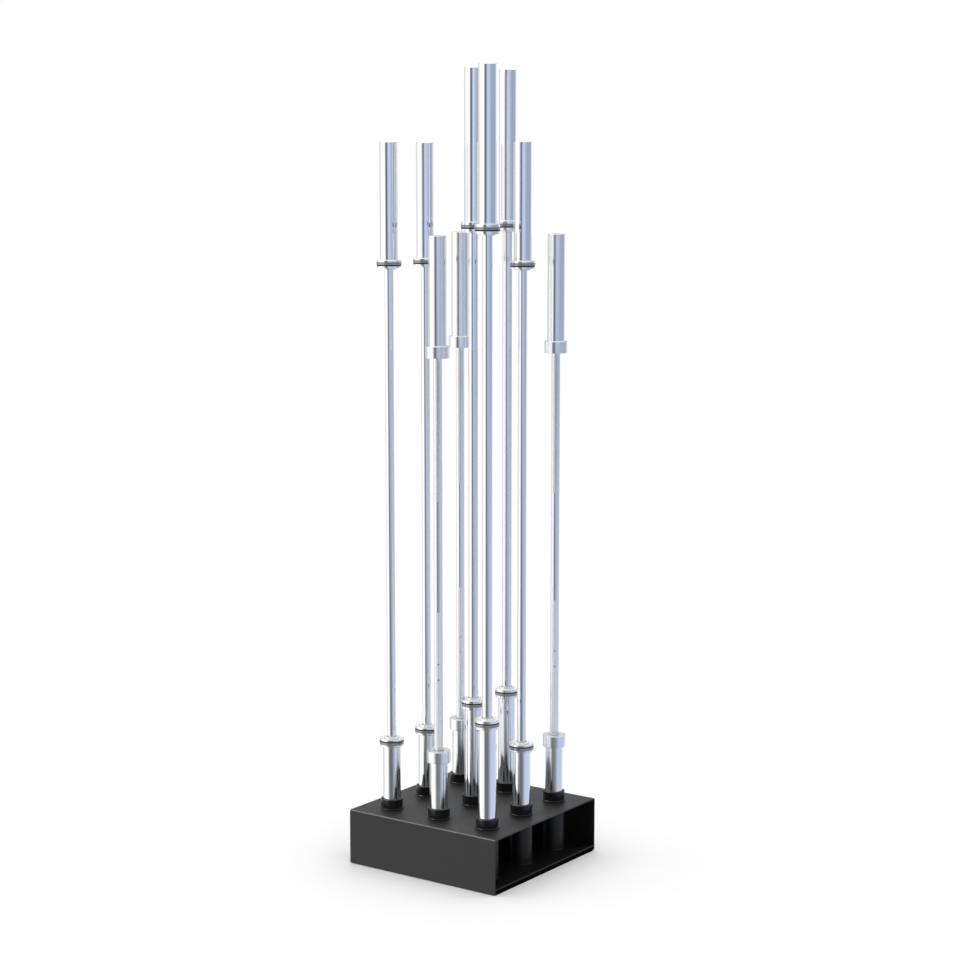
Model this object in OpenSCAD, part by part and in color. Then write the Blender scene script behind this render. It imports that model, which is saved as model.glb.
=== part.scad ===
// Barbell storage rack: a folded steel base with nine upright holders, loaded
// with three tall, three medium and three short bars. Millimetres. The origin
// is on the floor under the middle of the base, +X runs along the front face,
// +Y from front to back and +Z up.

/* [Base] */
// Width of the base along X
base_w = 500; // [480:5:600]
// Depth of the base along Y
base_d = 500; // [480:5:600]
// Height of the top face above the floor
base_h = 156; // [130:1:180]
// Thickness of the folded cover sheet
sheet_t = 4; // [3:0.5:5]
// Outside radius of the cover's two folds
fold_r = 6; // [5.5:0.5:10]
// Gap between the cover's skirt and the floor
skirt_gap = 2; // [1:0.5:4]
// Thickness of the floor sheet
floor_t = 4; // [3:0.5:6]
// Height of a rubber runner, which carries the floor sheet
runner_h = 13; // [10:1:16]
// Width of a rubber runner
runner_w = 55; // [44:1:58]
// Distance of a runner's outer side from the base's open side
runner_inset = 0.5; // [0.5:0.5:8]
// Distance of a runner's screws from the base's front and back
screw_inset = 42; // [36:1:60]

/* [Holders] */
// Distance between neighbouring holders
pitch = 165; // [160:1:170]
// Outside diameter of a holder tube
tube_d = 62; // [61:0.5:66]
// Wall thickness of a holder tube
tube_wall = 3; // [2.5:0.1:3.2]
// Diameter of the liner's flange, which rests on the top face
flange_d = 66; // [64.5:0.5:70]
// Thickness of that flange
flange_t = 3.2; // [2:0.1:5]
// Height of the liner's collar above its flange
liner_rise = 26; // [15:1:40]
// Diameter of that collar
liner_d = 61.6; // [60:0.1:63]
// Diameter of the socket in the liner
socket_d = 51.6; // [51:0.1:52]
// Thickness of the liner's closed end
liner_floor_t = 1.7; // [1.5:0.1:4]

/* [Tall bars] */
// Overall length of a tall bar
tall_l = 2200; // [2100:5:2300]
// Distance from a tall bar's end to the middle of its collar
tall_mid = 430; // [400:1:450]
// Thickness of a tall bar's collar
tall_collar_t = 27; // [20:1:32]
// Diameter of a tall bar's collar
tall_collar_d = 67.4; // [64:0.2:74]
// Grip diameter of a tall bar's shaft
tall_shaft_d = 28; // [27:0.5:29]

/* [Medium bars] */
// Overall length of a medium bar
medium_l = 2000; // [1900:5:2050]
// Distance from a medium bar's end to the middle of its collar
medium_mid = 330; // [300:1:350]
// Thickness of a medium bar's collar
medium_collar_t = 22; // [20:1:32]
// Diameter of a medium bar's collar
medium_collar_d = 68; // [64:0.2:74]
// Grip diameter of a medium bar's shaft
medium_shaft_d = 25; // [24:0.5:28]

/* [Short bars] */
// Overall length of a short bar
short_l = 1750; // [1600:5:1850]
// Distance from a short bar's end to the middle of its collar
short_mid = 313.5; // [290:0.5:330]
// Thickness of a short bar's collar
short_collar_t = 33; // [20:1:36]
// Diameter of a short bar's collar
short_collar_d = 66; // [60:0.5:74]
// Grip diameter of a short bar's shaft
short_shaft_d = 25; // [24:0.5:28]

/* [Sleeves] */
// Diameter of every sleeve, where plates slide on
sleeve_d = 50; // [49.5:0.1:50.2]
// Length of the boss between a banded collar and the grip
boss_t = 4; // [2:0.5:6]
// Diameter of that boss
boss_d = 44; // [40:1:50]
// Wall thickness of a bushing
bush_wall = 3; // [2:0.5:3.5]
// Length of a bushing
bush_l = 40; // [20:1:60]
// Radial running clearance between bushing and sleeve
run_gap = 0.05; // [0.02:0.01:0.1]

/* [Hidden] */
$fn = 96;
eps = 0.01;
sit_gap = 0.3;                                   // air under a seated bar
floor_top = runner_h + floor_t;
bar_z = floor_top + liner_floor_t + sit_gap;     // lower end of every bar
flange_top = base_h + flange_t;
liner_top = flange_top + liner_rise;
runner_x = base_w / 2 - runner_inset - runner_w / 2;
screw_y = base_d / 2 - screw_inset;

cap_bore_r = 20;                                 // recess in a sleeve's end
cap_bore_l = 14;
seat_w = 11;                                     // groove in a banded collar
seat_depth = 3;
ring_w = 8;                                      // steel ring in that groove
ring_proud = 0.4;
seal_low = 0.6;                                  // seal below the collar's rim

// Kinds of bar: length, middle of collar, collar thickness, collar diameter,
// grip diameter, boss length, banded or not
TALL = [tall_l, tall_mid, tall_collar_t, tall_collar_d, tall_shaft_d, boss_t, true];
MEDIUM = [medium_l, medium_mid, medium_collar_t, medium_collar_d, medium_shaft_d, boss_t, true];
SHORT = [short_l, short_mid, short_collar_t, short_collar_d, short_shaft_d, 0, false];

// The nine places: name, column, row, kind of bar
BARS = [
    ["front_left", -1, -1, MEDIUM],
    ["front_centre", 0, -1, SHORT],
    ["front_right", 1, -1, TALL],
    ["middle_left", -1, 0, MEDIUM],
    ["middle_centre", 0, 0, TALL],
    ["middle_right", 1, 0, MEDIUM],
    ["back_left", -1, 1, SHORT],
    ["back_centre", 0, 1, TALL],
    ["back_right", 1, 1, SHORT]
];

function trim(b) = b[3][6] ? "_cap_and_band" : "_cap";

// ---------------------------------------------------------------- helpers

module at_holders() {
    for (b = BARS) translate([b[1] * pitch, b[2] * pitch, 0]) children();
}

module at_screws() {
    for (sx = [-1, 1], sy = [-1, 1]) translate([sx * runner_x, sy * screw_y, 0]) children();
}

// Stands a bar's piece in its holder, lower end at bar_z
module in_holder(b) {
    translate([b[1] * pitch, b[2] * pitch, bar_z]) children();
}

// Turns a lower-end piece over onto the upper end of the bar
module upper_end(k) {
    translate([0, 0, k[0]]) mirror([0, 0, 1]) children();
}

// ------------------------------------------------------------------- rack

// Section of the cover across its folds: a top and two skirts
module fold_outline(w, h, r, low) {
    translate([-w / 2, low]) square([w, h - r - low]);
    translate([-w / 2 + r, low]) square([w - 2 * r, h - low]);
    for (s = [-1, 1]) translate([s * (w / 2 - r), h - r]) circle(r);
}

// One folded sheet: top, front skirt and back skirt, open to both sides
module base_cover() {
    color([0.17, 0.17, 0.18])
    difference() {
        translate([-base_w / 2, 0, 0]) rotate([90, 0, 90])
            linear_extrude(base_w) difference() {
                fold_outline(base_d, base_h, fold_r, skirt_gap);
                fold_outline(base_d - 2 * sheet_t, base_h - sheet_t, fold_r - sheet_t, skirt_gap - 1);
            }
        at_holders() translate([0, 0, base_h - sheet_t - 1])
            cylinder(d = tube_d + 0.3, h = sheet_t + 2);
    }
}

// Flat sheet welded between the skirts, which the holder tubes stand on
module floor_plate() {
    color([0.15, 0.15, 0.16])
    difference() {
        translate([-base_w / 2, -base_d / 2 + sheet_t + 0.1, runner_h])
            cube([base_w, base_d - 2 * sheet_t - 0.2, floor_t]);
        at_screws() translate([0, 0, runner_h - 1]) cylinder(d = 8.1, h = floor_t + 2);
    }
}

// Nine steel tubes, welded upright on the floor sheet, flush with the top face
module holder_tubes() {
    color([0.2, 0.2, 0.21])
    at_holders() translate([0, 0, floor_top]) difference() {
        cylinder(d = tube_d, h = base_h - floor_top);
        translate([0, 0, -1]) cylinder(d = tube_d - 2 * tube_wall, h = base_h - floor_top + 2);
    }
}

// Nine polymer cups in the tubes, each with a flange that rests on the top face
// and covers the joint round its tube, and a collar above it
module holder_liners() {
    ri = socket_d / 2;
    ro = tube_d / 2 - tube_wall - 0.1;
    color([0.09, 0.09, 0.1])
    at_holders() rotate_extrude() polygon([
        [0, floor_top], [ro - 1.2, floor_top], [ro, floor_top + 1.2], [ro, base_h],
        [flange_d / 2, base_h], [flange_d / 2, flange_top - 0.8], [flange_d / 2 - 0.8, flange_top],
        [liner_d / 2, flange_top], [liner_d / 2, liner_top - 1], [liner_d / 2 - 1, liner_top],
        [ri + 1.6, liner_top], [ri, liner_top - 2.4], [ri, floor_top + liner_floor_t],
        [0, floor_top + liner_floor_t]
    ]);
}

// Two runners along the open sides, each with pockets for two screw heads
module rubber_runners() {
    w = runner_w / 2;
    l = base_d - 2 * sheet_t - 2;
    color([0.05, 0.05, 0.05])
    difference() {
        for (sx = [-1, 1]) translate([sx * runner_x, l / 2, 0]) rotate([90, 0, 0])
            linear_extrude(l) polygon([
                [0.8 - w, 0], [w - 0.8, 0], [w, 0.8], [w, runner_h], [-w, runner_h], [-w, 0.8]
            ]);
        at_screws() {
            translate([0, 0, -1]) cylinder(r = 9.5, h = runner_h - 4.5);
            cylinder(r = 4.3, h = runner_h + 1);
        }
    }
}

// Four screws up through runners and floor sheet, each with a hexagon nut
module runner_fasteners() {
    color([0.12, 0.12, 0.12])
    at_screws() {
        translate([0, 0, runner_h - 5.5 - 4.2]) difference() {
            cylinder(d = 15, h = 4.2);
            translate([0, 0, -1]) cylinder(d = 5.8, h = 3.6, $fn = 6);
        }
        translate([0, 0, runner_h - 5.5 - eps]) cylinder(d = 7.9, h = floor_t + 5.5 + 8.5);
        translate([0, 0, floor_top]) difference() {
            cylinder(d = 15, h = 6.5, $fn = 6);
            translate([0, 0, -1]) cylinder(d = 8.1, h = 9);
        }
    }
}

// ------------------------------------------------------------------- bars
// Pieces of a bar's lower end: z = 0 is the bar's end.

function collar_out(k) = k[1] - k[2] / 2;        // outer face of the collar
function collar_in(k) = k[1] + k[2] / 2;         // inner face of the collar
function sleeve_l(k) = collar_in(k) + k[5];      // whole sleeve with its boss
function journal_r(k) = k[4] / 2 - 1;
function bore_r(k) = journal_r(k) + bush_wall + run_gap;

// Turned steel sleeve with its collar, bored for the bushings
module sleeve(k) {
    a = collar_out(k);
    b = collar_in(k);
    rc = k[3] / 2;
    rs = sleeve_d / 2;
    seat = k[6] ? [
        [rc, k[1] - seat_w / 2], [rc - seat_depth, k[1] - seat_w / 2],
        [rc - seat_depth, k[1] + seat_w / 2], [rc, k[1] + seat_w / 2]
    ] : [];
    boss = k[5] > 0 ? [
        [boss_d / 2, b], [boss_d / 2, b + k[5] - 1], [boss_d / 2 - 1, b + k[5]]
    ] : [];
    color([0.8, 0.81, 0.84])
    rotate_extrude() polygon(concat(
        [[cap_bore_r, 0], [rs - 1.5, 0], [rs, 1.5], [rs, a], [rc - 1, a], [rc, a + 1]],
        seat,
        [[rc, b - 1], [rc - 1, b]],
        boss,
        [[bore_r(k), sleeve_l(k)], [bore_r(k), cap_bore_l], [cap_bore_r, cap_bore_l]]
    ));
}

// Disc that closes the sleeve's end
module end_cap() {
    color([0.07, 0.07, 0.08])
    rotate_extrude() polygon([
        [0, 1.6], [14, 1.6], [15, 1], [cap_bore_r - 0.1, 1], [cap_bore_r - 0.1, 5], [0, 5]
    ]);
}

// Dark steel ring in the collar's groove, on the side away from the grip
module collar_ring(k) {
    r0 = k[3] / 2 - seat_depth + 0.05;
    r1 = k[3] / 2 + ring_proud;
    a = -seat_w / 2 + 0.05;
    color([0.35, 0.35, 0.36])
    translate([0, 0, k[1]]) rotate_extrude() polygon([
        [r0, a], [r1 - 0.4, a], [r1, a + 0.4], [r1, a + ring_w - 0.4], [r1 - 0.4, a + ring_w], [r0, a + ring_w]
    ]);
}

// Black rubber ring that fills the rest of the groove
module collar_seal(k) {
    r0 = k[3] / 2 - seat_depth + 0.05;
    r1 = k[3] / 2 - seal_low;
    a = -seat_w / 2 + 0.1 + ring_w;
    b = seat_w / 2 - 0.05;
    color([0.05, 0.05, 0.05])
    translate([0, 0, k[1]]) rotate_extrude() polygon([
        [r0, a], [r1 - 0.4, a], [r1, a + 0.4], [r1, b - 0.4], [r1 - 0.4, b], [r0, b]
    ]);
}

module cap_and_band(k) {
    end_cap();
    if (k[6]) {
        collar_ring(k);
        collar_seal(k);
    }
}

// Solid shaft: grip in the middle, and a journal with a ring groove each end
module shaft(k) {
    rj = journal_r(k);
    s = sleeve_l(k) + sit_gap;
    color([0.78, 0.79, 0.82])
    rotate_extrude() polygon([
        [0, 6.5], [rj - 1, 6.5], [rj, 7.5], [rj, 8.8], [rj - 1.2, 8.8], [rj - 1.2, 11.1], [rj, 11.1],
        [rj, s], [k[4] / 2, s], [k[4] / 2, k[0] - s], [rj, k[0] - s],
        [rj, k[0] - 11.1], [rj - 1.2, k[0] - 11.1], [rj - 1.2, k[0] - 8.8], [rj, k[0] - 8.8],
        [rj, k[0] - 7.5], [rj - 1, k[0] - 6.5], [0, k[0] - 6.5]
    ]);
}

// What keeps one sleeve turning on its journal: two bushings, a thrust washer
// and an open retaining ring
module end_bearings(k) {
    rj = journal_r(k);
    color([0.72, 0.55, 0.3])
    for (z = [cap_bore_l + 3, sleeve_l(k) - bush_l - 2]) translate([0, 0, z]) difference() {
        cylinder(r = rj + bush_wall, h = bush_l);
        translate([0, 0, -1]) cylinder(r = rj + 0.02, h = bush_l + 2);
    }
    color([0.6, 0.61, 0.63]) {
        translate([0, 0, 11.2]) difference() {
            cylinder(r = cap_bore_r - 0.6, h = 2.4);
            translate([0, 0, -1]) cylinder(r = rj + 0.1, h = 5);
        }
        translate([0, 0, 9]) difference() {
            cylinder(r = rj + 3.5, h = 2);
            translate([0, 0, -1]) cylinder(r = rj - 1, h = 4);
            translate([0, -2.5, -1]) cube([rj + 10, 5, 4]);
        }
    }
}

module bearing_set(k) {
    end_bearings(k);
    upper_end(k) end_bearings(k);
}

// ------------------------------------------------------------------ nodes

base_cover();
floor_plate();
holder_tubes();
holder_liners();
rubber_runners();
runner_fasteners();

for (b = BARS) {
    k = b[3];
    in_holder(b) shaft(k);
    in_holder(b) bearing_set(k);
    in_holder(b) upper_end(k) sleeve(k);
    in_holder(b) upper_end(k) cap_and_band(k);
    in_holder(b) sleeve(k);
    in_holder(b) cap_and_band(k);
}
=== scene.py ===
import math

import bpy
import numpy as np
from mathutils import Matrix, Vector
from mathutils.geometry import delaunay_2d_cdt


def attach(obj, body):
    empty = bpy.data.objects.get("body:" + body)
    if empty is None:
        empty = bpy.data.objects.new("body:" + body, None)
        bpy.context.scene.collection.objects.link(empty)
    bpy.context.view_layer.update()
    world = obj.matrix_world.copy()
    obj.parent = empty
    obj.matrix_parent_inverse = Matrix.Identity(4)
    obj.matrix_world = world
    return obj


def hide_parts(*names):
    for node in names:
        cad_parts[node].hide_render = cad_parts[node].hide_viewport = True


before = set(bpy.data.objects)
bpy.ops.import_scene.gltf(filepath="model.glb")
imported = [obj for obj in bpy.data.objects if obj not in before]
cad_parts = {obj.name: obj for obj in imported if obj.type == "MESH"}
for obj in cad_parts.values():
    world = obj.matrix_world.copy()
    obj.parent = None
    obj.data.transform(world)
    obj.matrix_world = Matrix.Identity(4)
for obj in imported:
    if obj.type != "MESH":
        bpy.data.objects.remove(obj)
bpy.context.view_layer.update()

# ------------------------------------------------------------------ sizes
# Millimetres, as the frame has them. The frame's boxes give the places.
M = 0.001
BASE_W, BASE_D, BASE_H = 500.0, 500.0, 156.0
SHEET_T, FOLD_R, SKIRT_GAP = 4.0, 6.0, 2.0
FLOOR_T, RUNNER_H, RUNNER_W, RUNNER_INSET, SCREW_INSET = 4.0, 13.0, 55.0, 0.5, 42.0
PITCH, TUBE_D, TUBE_WALL = 165.0, 62.0, 3.0
FLANGE_D, FLANGE_T = 66.0, 3.2
LINER_RISE, LINER_D, SOCKET_D, LINER_FLOOR_T = 26.0, 61.6, 51.6, 1.7
SIT_GAP = 0.3
FLOOR_TOP = RUNNER_H + FLOOR_T
BAR_Z = FLOOR_TOP + LINER_FLOOR_T + SIT_GAP
FLANGE_TOP = BASE_H + FLANGE_T
LINER_TOP = FLANGE_TOP + LINER_RISE
SLEEVE_D, BOSS_D, CAP_BORE_R, CAP_BORE_L = 50.0, 44.0, 20.0, 14.0
BUSH_WALL, BUSH_L, RUN_GAP = 3.0, 40.0, 0.05
SEAT_W, SEAT_DEPTH, RING_W, RING_PROUD, SEAL_LOW = 11.0, 3.0, 8.0, 0.4, 0.6


class Kind:
    def __init__(self, length, mid, collar_t, collar_d, shaft_d, boss, banded):
        self.length, self.mid, self.t, self.d = length, mid, collar_t, collar_d
        self.shaft_d, self.boss, self.banded = shaft_d, boss, banded
        self.out = mid - collar_t / 2
        self.inn = mid + collar_t / 2
        self.sleeve_l = self.inn + boss
        self.journal_r = shaft_d / 2 - 1
        self.bore_r = self.journal_r + BUSH_WALL + RUN_GAP


TALL = Kind(2200, 430, 27, 67.4, 28, 4, True)
MEDIUM = Kind(2000, 330, 22, 68, 25, 4, True)
SHORT = Kind(1750, 313.5, 33, 66, 25, 0, False)
BARS = [
    ("front_left", -1, -1, MEDIUM), ("front_centre", 0, -1, SHORT), ("front_right", 1, -1, TALL),
    ("middle_left", -1, 0, MEDIUM), ("middle_centre", 0, 0, TALL), ("middle_right", 1, 0, MEDIUM),
    ("back_left", -1, 1, SHORT), ("back_centre", 0, 1, TALL), ("back_right", 1, 1, SHORT),
]

# ---------------------------------------------------------------- materials


def new_material(name):
    m = bpy.data.materials.new(name)
    m.use_nodes = True
    return m, m.node_tree.nodes, m.node_tree.links, m.node_tree.nodes["Principled BSDF"]


def noise(nodes, links, coord, scale, detail=4.0, rough=0.55, stretch=None):
    n = nodes.new("ShaderNodeTexNoise")
    n.inputs["Scale"].default_value = scale
    n.inputs["Detail"].default_value = detail
    n.inputs["Roughness"].default_value = rough
    if stretch is not None:
        mp = nodes.new("ShaderNodeMapping")
        mp.inputs["Scale"].default_value = stretch
        links.new(coord, mp.inputs["Vector"])
        links.new(mp.outputs["Vector"], n.inputs["Vector"])
    else:
        links.new(coord, n.inputs["Vector"])
    return n


def remap(nodes, links, value, lo, hi, to_lo, to_hi):
    r = nodes.new("ShaderNodeMapRange")
    r.inputs["From Min"].default_value = lo
    r.inputs["From Max"].default_value = hi
    r.inputs["To Min"].default_value = to_lo
    r.inputs["To Max"].default_value = to_hi
    links.new(value, r.inputs["Value"])
    return r.outputs["Result"]


def mix_colour(nodes, links, fac, a, b):
    mx = nodes.new("ShaderNodeMix")
    mx.data_type = "RGBA"
    mx.inputs["A"].default_value = (*a, 1)
    mx.inputs["B"].default_value = (*b, 1)
    links.new(fac, mx.inputs["Factor"])
    return mx.outputs["Result"]


def bump(nodes, links, bsdf, height, strength, distance, after=None):
    b = nodes.new("ShaderNodeBump")
    b.inputs["Strength"].default_value = strength
    b.inputs["Distance"].default_value = distance
    links.new(height, b.inputs["Height"])
    if after is not None:
        links.new(after, b.inputs["Normal"])
    links.new(b.outputs["Normal"], bsdf.inputs["Normal"])
    return b.outputs["Normal"]


def coat_material(name, dark, light, rough_lo, rough_hi, specular, grain=900.0, depth=0.00006):
    """Textured powder coat on steel: a fine orange peel, with broad faint clouds in tone and sheen."""
    m, nodes, links, bsdf = new_material(name)
    co = nodes.new("ShaderNodeTexCoord").outputs["Object"]
    clouds = noise(nodes, links, co, 9.0, 3.0)
    fine = noise(nodes, links, co, grain, 3.0, 0.6)
    speck = noise(nodes, links, co, grain * 2.6, 2.0, 0.5)
    tone = nodes.new("ShaderNodeMath")
    tone.operation = "MULTIPLY_ADD"
    tone.inputs[1].default_value = 0.35
    links.new(fine.outputs["Fac"], tone.inputs[0])
    links.new(clouds.outputs["Fac"], tone.inputs[2])
    links.new(mix_colour(nodes, links, remap(nodes, links, tone.outputs[0], 0.45, 0.95, 0, 1), dark, light), bsdf.inputs["Base Color"])
    links.new(remap(nodes, links, clouds.outputs["Fac"], 0.3, 0.7, rough_lo, rough_hi), bsdf.inputs["Roughness"])
    bsdf.inputs["Metallic"].default_value = 0.0
    bsdf.inputs["IOR"].default_value = 1.5
    bsdf.inputs["Specular IOR Level"].default_value = specular
    first = bump(nodes, links, bsdf, speck.outputs["Fac"], 0.25, depth * 0.5)
    bump(nodes, links, bsdf, fine.outputs["Fac"], 0.5, depth, first)
    return m


def moulded_material(name, dark, light, rough_lo, rough_hi, specular=0.5, grain=1600.0, depth=0.00002):
    """Black moulded polymer: fine even texture, slight variation in sheen."""
    m, nodes, links, bsdf = new_material(name)
    co = nodes.new("ShaderNodeTexCoord").outputs["Object"]
    clouds = noise(nodes, links, co, 30.0, 3.0)
    fine = noise(nodes, links, co, grain, 2.0)
    links.new(mix_colour(nodes, links, remap(nodes, links, clouds.outputs["Fac"], 0.35, 0.65, 0, 1), dark, light), bsdf.inputs["Base Color"])
    links.new(remap(nodes, links, clouds.outputs["Fac"], 0.3, 0.7, rough_lo, rough_hi), bsdf.inputs["Roughness"])
    bsdf.inputs["Specular IOR Level"].default_value = specular
    bump(nodes, links, bsdf, fine.outputs["Fac"], 0.4, depth)
    return m


def metal_material(name, dark, light, rough_lo, rough_hi, lines=0.10, line_scale=6000.0, depth=0.000003, around=True):
    """Turned and plated steel: fine lines round the axis, faint clouds in the polish."""
    m, nodes, links, bsdf = new_material(name)
    co = nodes.new("ShaderNodeTexCoord").outputs["Object"]
    clouds = noise(nodes, links, co, 14.0, 4.0, 0.5, (1.0, 1.0, 0.35))
    stretch = (60.0, 60.0, line_scale) if around else (line_scale, line_scale, 60.0)
    turned = noise(nodes, links, co, 1.0, 3.0, 0.6, stretch)
    broad = noise(nodes, links, co, 1.0, 2.0, 0.5, (8.0, 8.0, 420.0) if around else (420.0, 420.0, 8.0))
    tone = nodes.new("ShaderNodeMath")
    tone.operation = "MULTIPLY_ADD"
    tone.inputs[1].default_value = 0.5
    links.new(broad.outputs["Fac"], tone.inputs[0])
    links.new(clouds.outputs["Fac"], tone.inputs[2])
    links.new(mix_colour(nodes, links, remap(nodes, links, tone.outputs[0], 0.5, 1.0, 0, 1), dark, light), bsdf.inputs["Base Color"])
    links.new(remap(nodes, links, tone.outputs[0], 0.5, 1.0, rough_lo, rough_hi), bsdf.inputs["Roughness"])
    bsdf.inputs["Metallic"].default_value = 1.0
    bump(nodes, links, bsdf, turned.outputs["Fac"], lines, depth)
    return m


POWDER = coat_material("black_powder_coat", (0.003, 0.003, 0.0033), (0.006, 0.006, 0.0064), 0.40, 0.48, 0.50)
# The tubes' coat is a lighter copy of the black powder coat, toned to the tubes' lit sides inside the box: painted
# light.
LIT_TUBE_COAT = coat_material("tube_powder_coat_painted_light", (0.008, 0.008, 0.0084), (0.012, 0.012, 0.0124), 0.38, 0.46, 0.30)
# The floor sheet's coat is a darker copy of the black powder coat, for the shade inside the box: painted shade.
SHADED_SHEET_COAT = coat_material("floor_sheet_coat_painted_shade", (0.0025, 0.0025, 0.0027), (0.005, 0.005, 0.0053), 0.46, 0.54, 0.30)
POLYMER = moulded_material("black_polymer", (0.005, 0.005, 0.0055), (0.008, 0.008, 0.0085), 0.20, 0.27, 0.38)
# Near-black rubber, darker than rubber is, for the runners under the floor sheet's open edges and the collars' dark
# gaps: painted shade.
SHADE_RUBBER = moulded_material("black_rubber_painted_shade", (0.0006, 0.0006, 0.0006), (0.0016, 0.0016, 0.0016), 0.75, 0.9, 0.02, 700.0, 0.00005)
BLACK_STEEL = metal_material("black_oxide_steel", (0.005, 0.005, 0.0055), (0.010, 0.010, 0.0105), 0.46, 0.58)
# The collar ring's steel is toned dark for the shade in its fine turned grooves: painted shade.
GROOVE_SHADE_STEEL = metal_material("steel_painted_groove_shade", (0.29, 0.29, 0.295), (0.34, 0.34, 0.345), 0.18, 0.26)
PLAIN_STEEL = metal_material("plain_steel", (0.42, 0.42, 0.425), (0.54, 0.54, 0.545), 0.26, 0.38)
BRONZE = metal_material("sintered_bronze", (0.20, 0.15, 0.10), (0.27, 0.21, 0.14), 0.45, 0.60)
CHROME = metal_material("bright_chrome", (0.86, 0.87, 0.885), (0.90, 0.905, 0.915), 0.055, 0.085)
CHROME_SATIN = metal_material("satin_chrome", (0.830, 0.845, 0.855), (0.880, 0.895, 0.905), 0.14, 0.19)
SHAFT_CHROME = metal_material("ground_shaft_chrome", (0.84, 0.85, 0.865), (0.88, 0.885, 0.895), 0.09, 0.13)
SHAFT_SATIN = metal_material("satin_shaft_chrome", (0.830, 0.845, 0.855), (0.880, 0.895, 0.905), 0.13, 0.18)

# ------------------------------------------------------------- mesh helpers


def rounded(points, radii, closed=True, turn=18.0):
    """Outline with its corners rounded. radii has one radius per point; an arc takes a step for each `turn` degrees."""
    out = []
    n = len(points)
    for i, (p, r) in enumerate(zip(points, radii)):
        p = np.array(p, float)
        if r <= 0 or (not closed and i in (0, n - 1)):
            out.append(tuple(p))
            continue
        a = np.array(points[i - 1], float) - p
        b = np.array(points[(i + 1) % n], float) - p
        la, lb = np.hypot(*a), np.hypot(*b)
        a, b = a / la, b / lb
        half = math.acos(max(-1, min(1, float(a @ b)))) / 2
        cut = min(r / math.tan(half), 0.49 * la, 0.49 * lb)
        r = cut * math.tan(half)
        mid = (a + b) / np.hypot(*(a + b))
        centre = p + mid * (r / math.sin(half))
        start, end = p + a * cut - centre, p + b * cut - centre
        a0 = math.atan2(start[1], start[0])
        a1 = math.atan2(end[1], end[0])
        sweep = (a1 - a0 + math.pi) % (2 * math.pi) - math.pi
        steps = max(2, int(round(abs(math.degrees(sweep)) / turn)))
        for k in range(steps + 1):
            t = a0 + sweep * k / steps
            out.append((centre[0] + r * math.cos(t), centre[1] + r * math.sin(t)))
    return out


def mesh_object(name, verts, faces, material, smooth_deg=35.0, origin=(0, 0, 0), weighted=True):
    """A mesh from millimetres, with sharp edges where faces turn by more than smooth_deg."""
    me = bpy.data.meshes.new(name)
    me.from_pydata([tuple(c * M for c in v) for v in verts], [], faces)
    me.update()
    me.materials.append(material)
    for p in me.polygons:
        p.use_smooth = True
    import bmesh
    bm = bmesh.new()
    bm.from_mesh(me)
    bmesh.ops.recalc_face_normals(bm, faces=bm.faces)
    limit = math.radians(smooth_deg)
    for e in bm.edges:
        if len(e.link_faces) == 2:
            e.smooth = e.calc_face_angle(0.0) < limit
    bm.to_mesh(me)
    bm.free()
    ob = bpy.data.objects.new(name, me)
    bpy.context.scene.collection.objects.link(ob)
    ob.location = Vector(origin) * M
    if weighted:
        w = ob.modifiers.new("even_normals", "WEIGHTED_NORMAL")
        w.keep_sharp = True
        w.weight = 60
    return ob


def ring_faces(start_a, start_b, n):
    return [(start_a + i, start_a + (i + 1) % n, start_b + (i + 1) % n, start_b + i) for i in range(n)]


def lathe_data(points, seg, base=0, closed=True, phase=0.0):
    """Vertices and faces of an outline of (radius, height) turned about the axis. closed joins its last point to its
    first; an open outline starts and ends on the axis."""
    verts, faces, rows = [], [], []
    ang = [2 * math.pi * (i + phase) / seg for i in range(seg)]
    cs = [(math.cos(t), math.sin(t)) for t in ang]
    for r, z in points:
        if r < 1e-9:
            rows.append((base + len(verts), True))
            verts.append((0.0, 0.0, z))
        else:
            rows.append((base + len(verts), False))
            verts.extend((r * c, r * s, z) for c, s in cs)
    pairs = list(zip(rows, rows[1:])) + ([(rows[-1], rows[0])] if closed else [])
    for (a, a_axis), (b, b_axis) in pairs:
        if a_axis and b_axis:
            continue
        if a_axis:
            faces += [(a, b + (i + 1) % seg, b + i) for i in range(seg)]
        elif b_axis:
            faces += [(a + i, a + (i + 1) % seg, b) for i in range(seg)]
        else:
            faces += ring_faces(a, b, seg)
    return verts, faces


def lathe(name, outlines, seg, material, at=(0, 0, 0), closed=True, smooth_deg=35.0):
    """One object from one or more turned outlines."""
    if outlines and not isinstance(outlines[0], list):
        outlines = [outlines]
    verts, faces = [], []
    for o in outlines:
        on_axis = o[0][0] < 1e-9 and o[-1][0] < 1e-9
        v, f = lathe_data(o, seg, len(verts), closed=closed and not on_axis)
        verts += v
        faces += f
    return mesh_object(name, verts, faces, material, smooth_deg, at)


def circle(cx, cy, r, n):
    return [(cx + r * math.cos(2 * math.pi * i / n), cy + r * math.sin(2 * math.pi * i / n)) for i in range(n)]


def flat_with_holes(corners, holes):
    """Triangles of a flat polygon with round holes. corners and holes are lists of 2-D points; returns index triples
    into corners followed by the holes' points."""
    pts = [Vector(c) for c in corners]
    edges = [(i, (i + 1) % len(corners)) for i in range(len(corners))]
    discs = []
    for h in holes:
        s = len(pts)
        pts += [Vector(c) for c in h]
        edges += [(s + i, s + (i + 1) % len(h)) for i in range(len(h))]
        c = np.mean(np.array(h), axis=0)
        discs.append((c, float(np.hypot(*(np.array(h[0]) - c)))))
    vs, _, tris, orig, _, _ = delaunay_2d_cdt(pts, edges, [], 0, 1e-6)
    back = [o[0] for o in orig]
    keep = []
    for t in tris:
        c = np.mean([tuple(vs[i]) for i in t], axis=0)
        if any(np.hypot(*(c - d)) < r * 0.999 for d, r in discs):
            continue
        keep.append(tuple(back[i] for i in t))
    return keep


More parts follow.
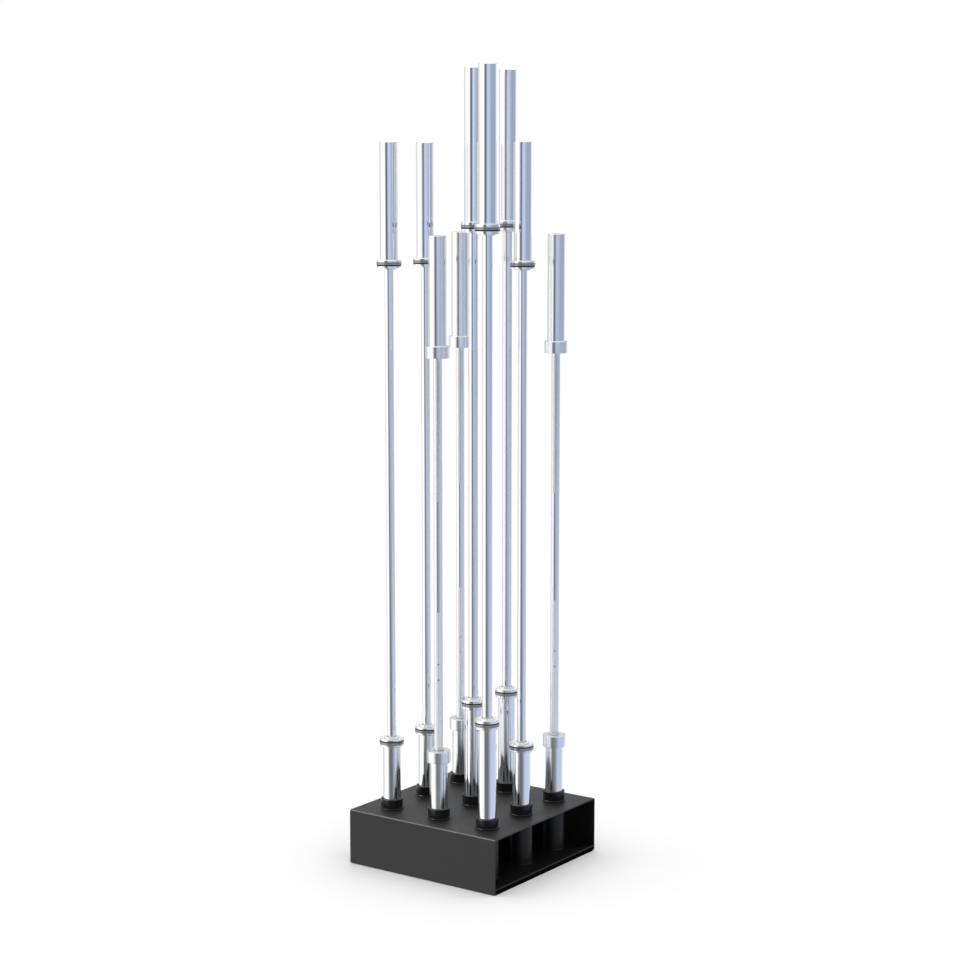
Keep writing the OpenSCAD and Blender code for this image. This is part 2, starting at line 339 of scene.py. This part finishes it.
def ride(ob, body, slot=None, *nodes):
    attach(ob, body)
    if nodes:
        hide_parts(*nodes)
    return ob


# --------------------------------------------------------------- base cover

HOLE_R = TUBE_D / 2 + 0.15
HOLE_N = 96


def cover_outline(inset):
    """Outer and inner edges of the folded sheet's section, as (y, z), point for point."""
    half, low, c = BASE_D / 2, SKIRT_GAP, 0.6
    outer, inner = [], []
    arcs = [math.radians(a) for a in range(180, 89, -10)]
    fy, fz = -half + FOLD_R, BASE_H - FOLD_R
    outer += [(-half + c + inset * 0.4, low + inset), (-half + inset, low + c + inset * 0.4)]
    inner += [(-half + SHEET_T - c - inset * 0.4, low + inset), (-half + SHEET_T - inset, low + c + inset * 0.4)]
    for a in arcs:
        outer.append((fy + (FOLD_R - inset) * math.cos(a), fz + (FOLD_R - inset) * math.sin(a)))
        inner.append((fy + (FOLD_R - SHEET_T + inset) * math.cos(a), fz + (FOLD_R - SHEET_T + inset) * math.sin(a)))
    outer += [(-y, z) for y, z in reversed(outer)]
    inner += [(-y, z) for y, z in reversed(inner)]
    return outer, inner


def build_cover():
    c = 0.4
    stations = [(-BASE_W / 2, c), (-BASE_W / 2 + c, 0.0), (BASE_W / 2 - c, 0.0), (BASE_W / 2, c)]
    verts, faces, idx = [], [], []
    n = len(cover_outline(0)[0])
    for x, inset in stations:
        o, i = cover_outline(inset)
        so = len(verts)
        verts += [(x, y, z) for y, z in o]
        si = len(verts)
        verts += [(x, y, z) for y, z in i]
        idx.append((so, si))
    flat = n // 2 - 1                       # the segment from the front fold to the back fold
    for s in range(3):
        (o0, i0), (o1, i1) = idx[s], idx[s + 1]
        for k in range(n - 1):
            if s == 1 and k == flat:
                continue
            faces.append((o0 + k, o0 + k + 1, o1 + k + 1, o1 + k))
            faces.append((i0 + k, i1 + k, i1 + k + 1, i0 + k + 1))
        faces.append((o0, o1, i1, i0))
        faces.append((o0 + n - 1, i0 + n - 1, i1 + n - 1, o1 + n - 1))
    for s in (0, 3):
        o, i = idx[s]
        for k in range(n - 1):
            faces.append((o + k, i + k, i + k + 1, o + k + 1) if s == 0 else (o + k, o + k + 1, i + k + 1, i + k))
    rings = []
    for z, which in ((BASE_H, 0), (BASE_H - SHEET_T, 1)):
        corner = [idx[1][which] + flat, idx[1][which] + flat + 1, idx[2][which] + flat + 1, idx[2][which] + flat]
        corners = [(verts[i][0], verts[i][1]) for i in corner]
        holes = [circle(b[1] * PITCH, b[2] * PITCH, HOLE_R, HOLE_N) for b in BARS]
        table = list(corner)
        starts = []
        for h in holes:
            starts.append(len(verts))
            table += range(len(verts), len(verts) + HOLE_N)
            verts += [(x, y, z) for x, y in h]
        rings.append(starts)
        faces += [tuple(table[i] for i in t) for t in flat_with_holes(corners, holes)]
    for a, b in zip(*rings):
        faces += ring_faces(a, b, HOLE_N)
    return mesh_object("base_cover_sheet", verts, faces, POWDER, 35.0)


cover = ride(build_cover(), "rack", "powder_coat", "base_cover")
black_parts = [cover]


# --------------------------------------------------------------- floor sheet


def build_plate(name, x0, x1, y0, y1, z0, z1, holes, material, c=0.5):
    verts, faces = [], []
    loops = []
    for inset, z in ((c, z0), (0, z0 + c), (0, z1 - c), (c, z1)):
        loops.append(len(verts))
        verts += [(x0 + inset, y0 + inset, z), (x1 - inset, y0 + inset, z), (x1 - inset, y1 - inset, z), (x0 + inset, y1 - inset, z)]
    for a, b in zip(loops, loops[1:]):
        faces += ring_faces(a, b, 4)
    rings = []
    for start, z in ((loops[0], z0), (loops[-1], z1)):
        corners = [(verts[start + i][0], verts[start + i][1]) for i in range(4)]
        table = [start + i for i in range(4)]
        starts = []
        for h in holes:
            starts.append(len(verts))
            table += range(len(verts), len(verts) + len(h))
            verts += [(x, y, z) for x, y in h]
        rings.append(starts)
        faces += [tuple(table[i] for i in t) for t in flat_with_holes(corners, holes)]
    for a, b, h in zip(rings[0], rings[1], holes):
        faces += ring_faces(a, b, len(h))
    return mesh_object(name, verts, faces, material, 35.0)


RUNNER_X = BASE_W / 2 - RUNNER_INSET - RUNNER_W / 2
SCREWS = [(sx * RUNNER_X, sy * (BASE_D / 2 - SCREW_INSET)) for sy in (-1, 1) for sx in (-1, 1)]
SCREW_NAMES = ["front_left", "front_right", "back_left", "back_right"]
# The floor sheet's darker coat is painted shade.
plate = build_plate("floor_sheet", -BASE_W / 2, BASE_W / 2, -BASE_D / 2 + SHEET_T + 0.1, BASE_D / 2 - SHEET_T - 0.1,
                    RUNNER_H, FLOOR_TOP, [circle(x, y, 4.05, 48) for x, y in SCREWS], SHADED_SHEET_COAT)
ride(plate, "rack", "powder_coat", "floor_plate")

# ------------------------------------------------------------- holder tubes


def weld_ring(r, z, leg, seg=144, ripples=44):
    """Fillet weld round a tube, standing on a sheet, with the ripples of its beads."""
    verts, faces, rows = [], [], []
    section = [(0.0, 0.0), (1.0, 0.0), (0.82, 0.33), (0.58, 0.58), (0.33, 0.82), (0.0, 1.0)]
    for i in range(seg):
        t = 2 * math.pi * i / seg
        k = 1 + 0.10 * math.cos(ripples * t) + 0.05 * math.cos(5 * t + 1.0)
        rows.append(len(verts))
        for u, v in section:
            rr = r - 0.1 + u * leg * k
            verts.append((rr * math.cos(t), rr * math.sin(t), z + v * leg * k))
    n = len(section)
    for i in range(seg):
        a, b = rows[i], rows[(i + 1) % seg]
        faces += [(a + j, a + (j + 1) % n, b + (j + 1) % n, b + j) for j in range(n)]
    return verts, faces


for name, cx, cy, k in BARS:
    r = TUBE_D / 2
    o = rounded([(r - TUBE_WALL, FLOOR_TOP), (r, FLOOR_TOP), (r, BASE_H), (r - TUBE_WALL, BASE_H)],
                [0.2, 0.2, 0.5, 0.3])
    v, f = lathe_data(o, 128)
    w, g = weld_ring(r, FLOOR_TOP, 1.6)
    f += [tuple(i + len(v) for i in q) for q in g]
    v += w
    # The tubes' lighter coat is painted light.
    tube = mesh_object("holder_tube_" + name, v, f, LIT_TUBE_COAT, 35.0, (cx * PITCH, cy * PITCH, 0))
    ride(tube, "rack", "tube_coat", "holder_tubes")

# ------------------------------------------------------------ holder liners

for name, cx, cy, k in BARS:
    ri, ro, rf, rc = SOCKET_D / 2, TUBE_D / 2 - TUBE_WALL - 0.1, FLANGE_D / 2, LINER_D / 2
    o = rounded([(0, FLOOR_TOP), (ro, FLOOR_TOP), (ro, BASE_H), (rf, BASE_H), (rf, FLANGE_TOP), (rc, FLANGE_TOP),
                 (rc, LINER_TOP), (ri + 1.0, LINER_TOP), (ri, LINER_TOP - 1.8), (ri, FLOOR_TOP + LINER_FLOOR_T),
                 (0, FLOOR_TOP + LINER_FLOOR_T)],
                [0, 1.2, 0, 0.2, 1.0, 0.35, 1.4, 0.8, 0.8, 0.5, 0], closed=False)
    liner = lathe("holder_liner_" + name, o, 128, POLYMER, (cx * PITCH, cy * PITCH, 0))
    black_parts.append(ride(liner, "rack", "black_polymer", "holder_liners"))

# ------------------------------------------------------ runners and fasteners


def build_runner(name, cx):
    """Rubber runner: a long pad with rounded corners and edges, and two screw pockets."""
    # The runner's near-black rubber fills the deep shade under the floor sheet's open edge: painted shade.
    w, l, h = RUNNER_W / 2, BASE_D / 2 - SHEET_T - 1.0, RUNNER_H
    pockets = [(0.0, sy * (BASE_D / 2 - SCREW_INSET)) for sy in (-1, 1)]
    verts, faces, loops = [], [], []
    for inset, z in ((0.8, 0.0), (0.4, 0.12), (0.1, 0.45), (0.0, 0.9), (0.0, h - 0.4), (0.35, h)):
        c = rounded([(-w + inset, -l + inset), (w - inset, -l + inset), (w - inset, l - inset), (-w + inset, l - inset)],
                    [3.0 - inset * 0.5] * 4, turn=15.0)
        loops.append((len(verts), len(c)))
        verts += [(x, y, z) for x, y in c]
    n = loops[0][1]
    for (a, _), (b, _) in zip(loops, loops[1:]):
        faces += ring_faces(a, b, n)
    seg = 64
    rings = {}
    for z, r, loop in ((0.0, 9.9, loops[0]), (h, 4.3, loops[-1])):
        corners = [(verts[loop[0] + i][0], verts[loop[0] + i][1]) for i in range(n)]
        table = list(range(loop[0], loop[0] + n))
        holes = [circle(x, y, r, seg) for x, y in pockets]
        for p, hole in enumerate(holes):
            rings[(z, p)] = len(verts)
            table += range(len(verts), len(verts) + seg)
            verts += [(x, y, z) for x, y in hole]
        faces += [tuple(table[i] for i in t) for t in flat_with_holes(corners, holes)]
    for p, (x, y) in enumerate(pockets):
        steps = [rings[(0.0, p)]]
        for r, z in ((9.5, 0.4), (9.5, h - 5.5), (4.3, h - 5.5)):
            steps.append(len(verts))
            verts += [(px, py, z) for px, py in circle(x, y, r, seg)]
        steps.append(rings[(h, p)])
        for a, b in zip(steps, steps[1:]):
            faces += ring_faces(a, b, seg)
    return mesh_object(name, verts, faces, SHADE_RUBBER, 40.0, (cx, 0, 0))


# The runners stand in for the deep shade under the floor sheet's open edges: painted shade.
for sx, side in ((-1, "left"), (1, "right")):
    ride(build_runner("rubber_runner_painted_shade_" + side, sx * RUNNER_X), "rack", "runner_rubber", "rubber_runners")


def build_screw(name, at):
    """Cap screw: head with a hexagon socket, shank with rolled thread."""
    verts, faces = [], []
    seg = 96
    outline = rounded([(4.2, 2.3), (7.5, 2.3), (7.5, 6.5), (3.95, 6.5)], [0, 0.7, 0.3, 0], closed=False)
    rows = []
    for r, z in outline:
        rows.append(len(verts))
        verts += [(r * math.cos(2 * math.pi * i / seg), r * math.sin(2 * math.pi * i / seg), z) for i in range(seg)]
    for a, b in zip(rows, rows[1:]):
        faces += ring_faces(a, b, seg)
    # thread: rings that alternate between crest and root
    z, top, pitch, prev = 6.5, 24.3, 1.25, rows[-1]
    steps = int((top - z) / (pitch / 2))
    for s in range(1, steps + 1):
        zz = z + s * pitch / 2
        r = 3.95 if s % 2 == 0 else 3.3
        if zz > 23.4:
            r = min(r, 3.3)
        cur = len(verts)
        verts += [(x, y, zz) for x, y in circle(0, 0, r, seg)]
        faces += ring_faces(prev, cur, seg)
        prev = cur
    end = len(verts)
    verts.append((0, 0, 24.45))
    faces += [(prev + i, prev + (i + 1) % seg, end) for i in range(seg)]
    # hexagon socket in the head's underside
    sock_lo = len(verts)
    for i in range(seg):
        t = 2 * math.pi * i / seg
        s = math.cos(math.radians(30)) / math.cos(((math.degrees(t)) % 60 - 30) * math.pi / 180)
        verts.append((2.9 * s * math.cos(t), 2.9 * s * math.sin(t), 2.75))
    faces += ring_faces(rows[0], sock_lo, seg)
    sock_hi = len(verts)
    for i in range(seg):
        t = 2 * math.pi * i / seg
        s = math.cos(math.radians(30)) / math.cos(((math.degrees(t)) % 60 - 30) * math.pi / 180)
        verts.append((2.9 * s * math.cos(t), 2.9 * s * math.sin(t), 4.9))
    faces += ring_faces(sock_lo, sock_hi, seg)
    c = len(verts)
    verts.append((0, 0, 5.3))
    faces += [(sock_hi + i, sock_hi + (i + 1) % seg, c) for i in range(seg)]
    return mesh_object(name, verts, faces, BLACK_STEEL, 28.0, at, weighted=False)


def build_nut(name, at):
    """Hexagon nut with its corners turned off above and below."""
    seg = 96
    verts, faces, rows = [], [], []
    z0, z1, apothem = FLOOR_TOP, FLOOR_TOP + 6.5, 7.5 * math.cos(math.radians(30))

    def ring(radius_at, z):
        rows.append(len(verts))
        for i in range(seg):
            t = 2 * math.pi * i / seg
            r = radius_at(math.degrees(t))
            zz = z(r) if callable(z) else z
            verts.append((r * math.cos(t), r * math.sin(t), zz))

    def hexr(a):
        return apothem / math.cos(math.radians((a % 60) - 30))

    cone = 0.45
    ring(lambda a: 4.6, z0)
    ring(lambda a: apothem - 0.25, z0)
    ring(hexr, lambda r: z0 + max(0.0, r - apothem + 0.25) * cone)
    ring(hexr, lambda r: z1 - max(0.0, r - apothem + 0.25) * cone)
    ring(lambda a: apothem - 0.25, z1)
    ring(lambda a: 4.6, z1)
    ring(lambda a: 4.0, z1 - 0.6)
    ring(lambda a: 4.0, z0 + 0.6)
    for a, b in zip(rows, rows[1:] + rows[:1]):
        faces += ring_faces(a, b, seg)
    return mesh_object(name, verts, faces, BLACK_STEEL, 28.0, at, weighted=False)


for (x, y), name in zip(SCREWS, SCREW_NAMES):
    ride(build_screw("runner_screw_" + name, (x, y, 0)), "rack", "black_steel", "runner_fasteners")
    ride(build_nut("runner_nut_" + name, (x, y, 0)), "rack", "black_steel", "runner_fasteners")

# ------------------------------------------------------------------- bars

KNURL_N = 52                    # diamonds round a short bar's grip
KNURL_ROW = 1.3                 # half a diamond's length along the bar
KNURL_DEPTH = 0.13
SHORT_KNURLS = [(154.0, 298.0), (302.0, 342.5), (346.5, 540.0)]   # from the middle of the bar, each way


def place(b, upper=False):
    """Origin of a bar's piece: on the bar's axis, at its lower end, or at its upper end for the upper sleeve."""
    return (b[1] * PITCH, b[2] * PITCH, BAR_Z + (b[3].length if upper else 0))


def turned_over(outline):
    return [(r, -z) for r, z in outline]


def sleeve_outline(k):
    rs, rc = SLEEVE_D / 2, k.d / 2
    pts = [(CAP_BORE_R, 0, 0.3), (rs - 1.5, 0, 0.5), (rs, 1.5, 0.8), (rs, k.out, 1.0), (rc, k.out, 1.3)]
    if k.banded:
        lo, hi = k.mid - SEAT_W / 2, k.mid + SEAT_W / 2
        pts += [(rc, lo, 0.25), (rc - SEAT_DEPTH, lo, 0.1), (rc - SEAT_DEPTH, hi, 0.1), (rc, hi, 0.25)]
    pts += [(rc, k.inn, 1.3)]
    if k.boss:
        pts += [(BOSS_D / 2, k.inn, 0.5), (BOSS_D / 2, k.sleeve_l, 1.0)]
    pts += [(k.bore_r, k.sleeve_l, 0.3), (k.bore_r, CAP_BORE_L, 0.1), (CAP_BORE_R, CAP_BORE_L, 0.1)]
    return rounded([(r, z) for r, z, _ in pts], [q for _, _, q in pts])


def cap_outline():
    return rounded([(0, 1.6), (13.6, 1.6), (14.6, 1.05), (19.85, 1.05), (19.85, 5), (0, 5)],
                   [0, 0.6, 0.4, 0.5, 0.2, 0], closed=False)


def ring_outline(k):
    """Steel ring in the collar's groove, with fine grooves turned in its rim."""
    r0, r1 = k.d / 2 - SEAT_DEPTH + 0.05, k.d / 2 + RING_PROUD
    a = k.mid - SEAT_W / 2 + 0.05
    b = a + RING_W
    pts = [(r0, a, 0.1), (r1, a, 0.4)]
    pitch = (RING_W - 1.2) / 7
    for i in range(7):
        z = a + 0.6 + pitch * i
        pts += [(r1, z + pitch * 0.18, 0.0), (r1 - 0.07, z + pitch * 0.5, 0.0), (r1, z + pitch * 0.82, 0.0)]
    pts += [(r1, b, 0.4), (r0, b, 0.1)]
    return rounded([(r, z) for r, z, _ in pts], [q for _, _, q in pts])


def gap_shade_ring_outline(k):
    """Near-black rubber ring that fills the rest of the groove, with a rounded crown; it stands in for the dark shade
    of the gap beside the steel ring, as painted shade.
    """
    r0, r1 = k.d / 2 - SEAT_DEPTH + 0.05, k.d / 2 - SEAL_LOW
    a, b = k.mid - SEAT_W / 2 + 0.1 + RING_W, k.mid + SEAT_W / 2 - 0.05
    return rounded([(r0, a), (r1, a), (r1, b), (r0, b)], [0.2, 1.0, 1.0, 0.2])


def shaft_outline(k):
    rj, s, L = k.journal_r, k.sleeve_l + SIT_GAP, k.length
    half = [(0, 6.5, 0), (rj, 6.5, 1.0), (rj, 8.8, 0.1), (rj - 1.2, 8.8, 0.1), (rj - 1.2, 11.1, 0.1), (rj, 11.1, 0.1),
            (rj, s, 0.2), (k.shaft_d / 2, s, 0.3)]
    pts = half + [(r, L - z, q) for r, z, q in reversed(half)]
    return rounded([(r, z) for r, z, _ in pts], [q for _, _, q in pts], closed=False)


def knurled_shaft(name, k, at):
    """A shaft whose grip carries diamond knurling: a mesh of pyramids between two families of grooves."""
    n = 2 * KNURL_N
    r = k.shaft_d / 2
    mid = k.length / 2
    lows = shaft_outline(k)
    half = len(lows) // 2
    rows = [(rr, z, None) for rr, z in lows[:half]]
    zones = sorted([(mid - b, mid - a) for a, b in SHORT_KNURLS] + [(mid + a, mid + b) for a, b in SHORT_KNURLS])
    for a, b in zones:
        count = int((b - a) / KNURL_ROW)
        step = (b - a) / count
        rows.append((r, a - 0.35, None))
        for j in range(count + 1):
            rows.append((r, a + j * step, j))
        rows.append((r, b + 0.35, None))
    rows += [(rr, z, None) for rr, z in lows[half:]]
    verts, faces, starts = [], [], []
    cs = [(math.cos(2 * math.pi * i / n), math.sin(2 * math.pi * i / n)) for i in range(n)]
    for rr, z, j in rows:
        starts.append((len(verts), j, rr < 1e-9))
        if rr < 1e-9:
            verts.append((0.0, 0.0, z))
        elif j is None:
            verts += [(rr * c, rr * s, z) for c, s in cs]
        else:
            low = rr - KNURL_DEPTH
            verts += [((rr if (i + j) % 2 else low) * c, (rr if (i + j) % 2 else low) * s, z) for i, (c, s) in enumerate(cs)]
    for (a, ja, xa), (b, jb, xb) in zip(starts, starts[1:]):
        for i in range(n):
            i1 = (i + 1) % n
            if xa:
                faces.append((a, b + i1, b + i))
            elif xb:
                faces.append((a + i, a + i1, b))
            elif ja is None and jb is None:
                faces.append((a + i, a + i1, b + i1, b + i))
            else:
                j = ja if ja is not None else jb - 1
                if (i + j) % 2 == 0:
                    faces += [(a + i, a + i1, b + i1), (a + i, b + i1, b + i)]
                else:
                    faces += [(a + i, a + i1, b + i), (a + i1, b + i1, b + i)]
    return mesh_object(name, verts, faces, SHAFT_SATIN, 7.0, at)


for b in BARS:
    name, cx, cy, k = b
    bright = k.banded
    sleeve_mat = CHROME if bright else CHROME_SATIN
    for end, upper in (("upper", True), ("lower", False)):
        at = place(b, upper)
        body = name + "_" + end
        turn = turned_over if upper else (lambda o: o)
        sleeve = lathe(body + "_sleeve_turned", turn(sleeve_outline(k)), 160, sleeve_mat, at)
        ride(sleeve, body, "chrome_sleeve", body + "_sleeve")
        node = body + ("_cap_and_band" if bright else "_cap")
        cap = lathe(body + "_end_cap", turn(cap_outline()), 128, POLYMER, at, closed=False)
        ride(cap, body, "black_trim", node)
        if bright:
            # The ring's darkened steel is painted shade for its fine grooves.
            ring = lathe(body + "_collar_ring", turn(ring_outline(k)), 160, GROOVE_SHADE_STEEL, at, smooth_deg=20.0)
            ride(ring, body, "chrome_sleeve", node)
            # The gap-filling ring's near-black rubber is painted shade.
            gap_shade_ring = lathe(body + "_collar_gap_shade_ring", turn(gap_shade_ring_outline(k)), 160, SHADE_RUBBER, at)
            ride(gap_shade_ring, body, "black_trim", node)
    at = place(b)
    if bright:
        shaft = lathe(name + "_shaft_ground", shaft_outline(k), 128, SHAFT_CHROME, at, closed=False)
    else:
        shaft = knurled_shaft(name + "_shaft_knurled", k, at)
    ride(shaft, name + "_bar", "chrome_shaft", name + "_shaft")



def bushings(k):
    """Outlines of the four bushings of a bar, each with a lead-in at both ends of its bore and rim."""
    out = []
    r0, r1 = k.journal_r + 0.02, k.journal_r + BUSH_WALL
    for a in (CAP_BORE_L + 3, k.sleeve_l - BUSH_L - 2):
        for z0, z1 in ((a, a + BUSH_L), (k.length - a - BUSH_L, k.length - a)):
            out.append(rounded([(r0, z0), (r1, z0), (r1, z1), (r0, z1)], [0.5, 0.5, 0.5, 0.5]))
    return out


def ring_with_gap(r0, r1, gap, z0, z1, seg=96):
    """Open ring of rectangular section with a parallel gap on its +X side."""
    verts, faces = [], []
    rows = []
    for r, z in ((r0, z0), (r1, z0), (r1, z1), (r0, z1)):
        half = math.asin(gap / 2 / r)
        rows.append(len(verts))
        for i in range(seg + 1):
            t = half + (2 * math.pi - 2 * half) * i / seg
            verts.append((r * math.cos(t), r * math.sin(t), z))
    for a, b in zip(rows, rows[1:] + rows[:1]):
        faces += [(a + i, a + i + 1, b + i + 1, b + i) for i in range(seg)]
    faces += [tuple(rows), tuple(r + seg for r in reversed(rows))]
    return verts, faces


for b in BARS:
    name, cx, cy, k = b
    at = place(b)
    ride(lathe(name + "_bushings", bushings(k), 96, BRONZE, at), name + "_bar", "bronze", name + "_bearing_set")
    verts, faces = [], []
    for flip in (False, True):
        z = (lambda v: k.length - v) if flip else (lambda v: v)
        o = rounded([(k.journal_r + 0.1, z(11.2)), (CAP_BORE_R - 0.6, z(11.2)), (CAP_BORE_R - 0.6, z(13.6)), (k.journal_r + 0.1, z(13.6))],
                    [0.2, 0.3, 0.3, 0.2])
        for v, f in (lathe_data(o, 96), ring_with_gap(k.journal_r - 1, k.journal_r + 3.5, 5.0, z(9.0), z(11.0))):
            faces += [tuple(i + len(verts) for i in q) for q in f]
            verts += v
    ride(mesh_object(name + "_washers_and_rings", verts, faces, PLAIN_STEEL, 35.0, at), name + "_bar", "bronze", name + "_bearing_set")

# ------------------------------------------------------------ studio and view

me = bpy.data.meshes.new("studio_floor")
S = 60.0
me.from_pydata([(-S, -S, 0), (S, -S, 0), (S, S, 0), (-S, S, 0)], [], [(0, 1, 2, 3)])
floor = bpy.data.objects.new("studio_floor", me)
bpy.context.scene.collection.objects.link(floor)
fm, nodes, links, bsdf = new_material("studio_floor")
bsdf.inputs["Base Color"].default_value = (0.92, 0.92, 0.92, 1)
bsdf.inputs["Roughness"].default_value = 0.9
bsdf.inputs["Specular IOR Level"].default_value = 0.1
me.materials.append(fm)
floor.visible_glossy = False

CAM = Vector((3.548930, -4.939429, 1.947802))
YAW, PITCH_DOWN, FOCAL_PX = 0.6199565, 0.1406351, 2202.337
cam_data = bpy.data.cameras.new("camera")
cam_data.sensor_fit = "HORIZONTAL"
cam_data.sensor_width = 36.0
cam_data.lens = FOCAL_PX / 960.0 * 36.0
cam_data.clip_end = 500.0
cam = bpy.data.objects.new("camera", cam_data)
cam.location = CAM
cam.rotation_euler = (math.pi / 2 - PITCH_DOWN, 0.0, YAW)
bpy.context.scene.collection.objects.link(cam)
bpy.context.scene.camera = cam

# The studio: a ring of broad plain panels round the object. Angles run from the camera's side of the object,
# positive to the right.
CAMERA_SIDE = math.degrees(math.atan2(CAM.y, CAM.x))
world = bpy.data.worlds.new("studio")
bpy.context.scene.world = world
world.use_nodes = True
wn, wl = world.node_tree.nodes, world.node_tree.links
wn.clear()
tc = wn.new("ShaderNodeTexCoord")
rot = wn.new("ShaderNodeVectorRotate")
rot.rotation_type = "Z_AXIS"
rot.inputs["Angle"].default_value = math.radians(-CAMERA_SIDE)
wl.new(tc.outputs["Generated"], rot.inputs["Vector"])
sep = wn.new("ShaderNodeSeparateXYZ")
wl.new(rot.outputs["Vector"], sep.inputs["Vector"])
az = wn.new("ShaderNodeMath")
az.operation = "ARCTAN2"
wl.new(sep.outputs["Y"], az.inputs[0])
wl.new(sep.outputs["X"], az.inputs[1])
unit = wn.new("ShaderNodeMapRange")
unit.inputs["From Min"].default_value = -math.pi
unit.inputs["From Max"].default_value = math.pi
wl.new(az.outputs[0], unit.inputs["Value"])


def panels(flats):
    """A ring of flat panels, each (from, to, tone) in degrees, that blend into each other across the gaps."""
    ramp = wn.new("ShaderNodeValToRGB")
    wl.new(unit.outputs["Result"], ramp.inputs["Fac"])
    el = ramp.color_ramp.elements
    while len(el) > 1:
        el.remove(el[-1])
    edges = [(deg, tone) for lo, hi, tone in flats for deg in (lo, hi)]
    for i, (deg, tone) in enumerate(edges):
        at = (deg + 180) / 360.0
        e = el[0] if i == 0 else el.new(at)
        e.position = at
        e.color = (*(tone if isinstance(tone, tuple) else (tone,) * 3), 1)
    return ramp.outputs["Color"]


def by_height(low, high, z0, z1, smooth=False):
    """One colour below, another above, fading between two heights of the view's direction."""
    up = wn.new("ShaderNodeMapRange")
    up.interpolation_type = "SMOOTHSTEP" if smooth else "LINEAR"
    up.inputs["From Min"].default_value = z0
    up.inputs["From Max"].default_value = z1
    wl.new(sep.outputs["Z"], up.inputs["Value"])
    mx = wn.new("ShaderNodeMix")
    mx.data_type = "RGBA"
    wl.new(up.outputs["Result"], mx.inputs["Factor"])
    for key, value in (("A", low), ("B", high)):
        if isinstance(value, float):
            mx.inputs[key].default_value = (value, value, value, 1)
        else:
            wl.new(value, mx.inputs[key])
    return mx.outputs["Result"]


def background(colour):
    bg = wn.new("ShaderNodeBackground")
    wl.new(colour, bg.inputs["Color"])
    return bg.outputs["Background"]


# What polished metal mirrors: white walls, one dark opening beside the camera, and cool grey flats to its right
WHITE, SOFTBOX, GREY = 1.0, 1.2, 0.75
DARK = (0.16, 0.17, 0.16)
COOL_PALE = (0.60, 0.68, 0.90)
COOL_GREY = (0.37, 0.43, 0.58)
UPPER_WALL = panels([(-180, -165, WHITE), (-145, -122, GREY), (-104, -48, SOFTBOX), (-32, -19, DARK), (-3, 15, COOL_PALE),
                     (50, 108, COOL_GREY), (133, 180, WHITE)])
LOWER_WALL = panels([(-180, -165, WHITE), (-142, -118, GREY), (-98, -54, SOFTBOX), (-25, 8, DARK), (50, 100, COOL_PALE),
                     (160, 180, WHITE)])
WALLS = by_height(LOWER_WALL, UPPER_WALL, -0.27, -0.035)
# above eye level the room is dimmer behind the object and to the right, but for one white strip; the ceiling is
# white, and the floor too, but for the part underfoot that only a view from above shows
FAR_SIDE = (0.30, 0.32, 0.35)
BACKDROP = panels([(-180, -150, FAR_SIDE), (-105, -45, 1.0), (-15, 60, 0.3), (110, 180, FAR_SIDE)])
UNDERFOOT = panels([(-180, -155, 0.55), (-110, -60, 0.95), (-30, 5, 0.30), (45, 100, 0.50), (150, 180, 0.55)])
FLOOR_TONE = by_height(UNDERFOOT, 0.95, -0.72, -0.50)
ROOM = by_height(by_height(FLOOR_TONE, WALLS, -0.44, -0.33), BACKDROP, 0.06, 0.11)
ROOM = by_height(by_height(ROOM, 1.0, 0.19, 0.215), BACKDROP, 0.268, 0.285)
MIRRORED = background(by_height(ROOM, SOFTBOX, 0.36, 0.62, True))
# What lights the plain surfaces: a neutral room, dim at eye level and bright overhead
DIM_WALL = panels([(-180, -150, 0.35), (-60, 30, 0.35), (90, 180, 0.50)])
CAST = background(by_height(DIM_WALL, 1.62, 0.40, 0.90, True))
plain = wn.new("ShaderNodeBackground")
plain.inputs["Color"].default_value = (1, 1, 1, 1)
seen = wn.new("ShaderNodeLightPath")
by_gloss = wn.new("ShaderNodeMixShader")
wl.new(seen.outputs["Is Glossy Ray"], by_gloss.inputs["Fac"])
wl.new(CAST, by_gloss.inputs[1])
wl.new(MIRRORED, by_gloss.inputs[2])
by_view = wn.new("ShaderNodeMixShader")
wl.new(seen.outputs["Is Camera Ray"], by_view.inputs["Fac"])
wl.new(by_gloss.outputs["Shader"], by_view.inputs[1])
wl.new(plain.outputs["Background"], by_view.inputs[2])
out = wn.new("ShaderNodeOutputWorld")
wl.new(by_view.outputs["Shader"], out.inputs["Surface"])

# One large soft key light, above and to the left, that is equally bright everywhere
key_data = bpy.data.lights.new("key_light", "SUN")
key_data.energy = 0.20
key_data.angle = math.radians(30.0)
key = bpy.data.objects.new("key_light", key_data)
side, height = math.radians(CAMERA_SIDE - 97.0), math.radians(50.0)
to_key = Vector((math.cos(side) * math.cos(height), math.sin(side) * math.cos(height), math.sin(height)))
key.location = 4.0 * to_key
key.rotation_euler = (-to_key).to_track_quat("-Z", "Y").to_euler()
bpy.context.scene.collection.objects.link(key)

# A second light that only the gloss of the black base parts shows, for the line along the cover's front fold
edge_data = bpy.data.lights.new("edge_light", "SUN")
edge_data.energy = 2.2
edge_data.angle = math.radians(30.0)
edge = bpy.data.objects.new("edge_light", edge_data)
side, height = math.radians(CAMERA_SIDE - 108.0), math.radians(54.0)
to_edge = Vector((math.cos(side) * math.cos(height), math.sin(side) * math.cos(height), math.sin(height)))
edge.location = 4.0 * to_edge
edge.rotation_euler = (-to_edge).to_track_quat("-Z", "Y").to_euler()
edge.visible_diffuse = False
bpy.context.scene.collection.objects.link(edge)
lit = bpy.data.collections.new("edge_light_parts")
for ob in black_parts:
    lit.objects.link(ob)
edge.light_linking.receiver_collection = lit

view = bpy.context.scene.view_settings
view.view_transform = "Standard"
view.look = "None"
view.exposure = 0.0
view.gamma = 1.0
